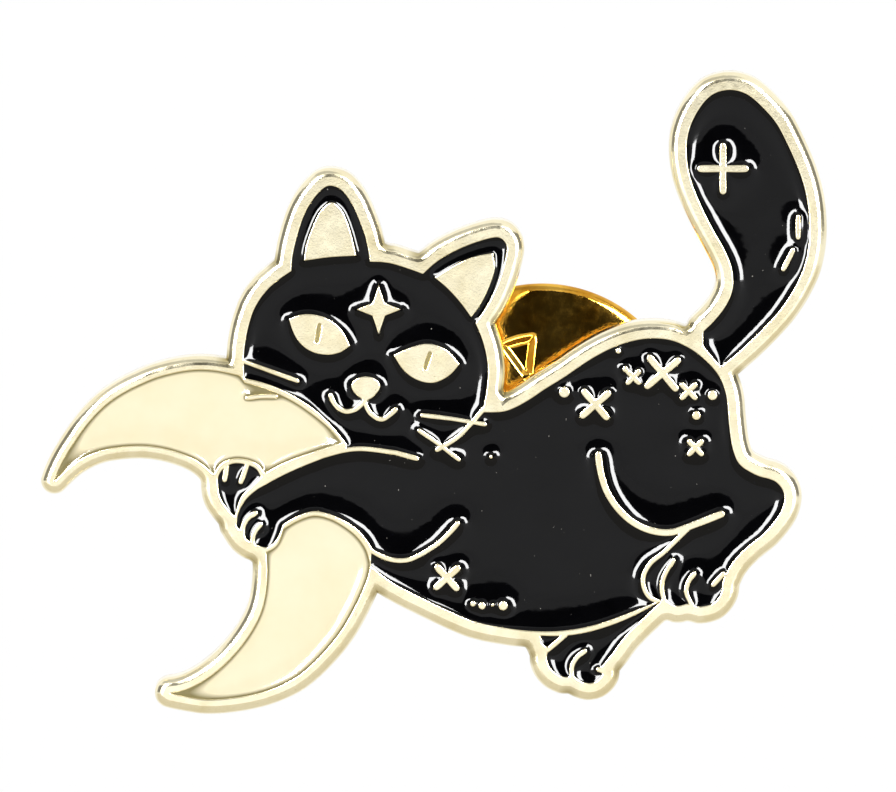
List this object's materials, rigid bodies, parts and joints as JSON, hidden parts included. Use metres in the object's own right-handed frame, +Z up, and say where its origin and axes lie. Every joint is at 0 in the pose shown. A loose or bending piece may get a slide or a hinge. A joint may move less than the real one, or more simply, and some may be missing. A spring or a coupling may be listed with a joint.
{
  "type": "enamel pin",
  "caption": "Soft-enamel lapel pin in the outline of a cat hugging a crescent moon, with a nail post and a pull-off butterfly clutch.",
  "frame": {"origin": "on the plate's flat back face, at the middle of the plate's outline", "axes": "+Z up the picture, +X to the picture's right, +Y out of the back along the post"},
  "size_m": [0.0309, 0.0095, 0.0253],
  "materials": {
    "light_gold": "polished pale gold plating",
    "black_enamel": "glossy black soft enamel",
    "cream_enamel": "glossy cream soft enamel",
    "post_steel": "drawn wire with a turned point",
    "solder": "dull silver solder",
    "yellow_gold": "bright yellow brass, polished"
  },
  "bodies": {
    "badge": {"badge_plate": "light_gold", "enamel_cat": "black_enamel", "enamel_tail": "black_enamel", "enamel_far_paw": "black_enamel", "enamel_far_foot": "black_enamel", "enamel_far_toe": "black_enamel", "enamel_moon_upper": "cream_enamel", "enamel_moon_lower": "cream_enamel", "post": "post_steel", "solder_joint": "solder"},
    "clutch": {"clutch_disc": "yellow_gold", "clutch_bridge": "yellow_gold"},
    "wing_right": {"spring_wing_right": "yellow_gold"},
    "wing_left": {"spring_wing_left": "yellow_gold"}
  },
  "joints": [
    {"name": "clutch_pull", "type": "slide", "parent": "badge", "child": "clutch", "axis": [0, 1, 0], "range_m": [-0.0016, 0.0075]},
    {"name": "wing_right_squeeze", "type": "hinge", "parent": "clutch", "child": "wing_right", "pos_m": [0.00536, 0.0041, -0.00074], "axis": [-0.7071, 0, 0.7071], "range_deg": [0, 12], "stiffness_Nm_per_rad": 0.03},
    {"name": "wing_left_squeeze", "type": "hinge", "parent": "clutch", "child": "wing_left", "pos_m": [0.00324, 0.0041, -0.00286], "axis": [0.7071, 0, -0.7071], "range_deg": [0, 12], "stiffness_Nm_per_rad": 0.03}
  ]
}
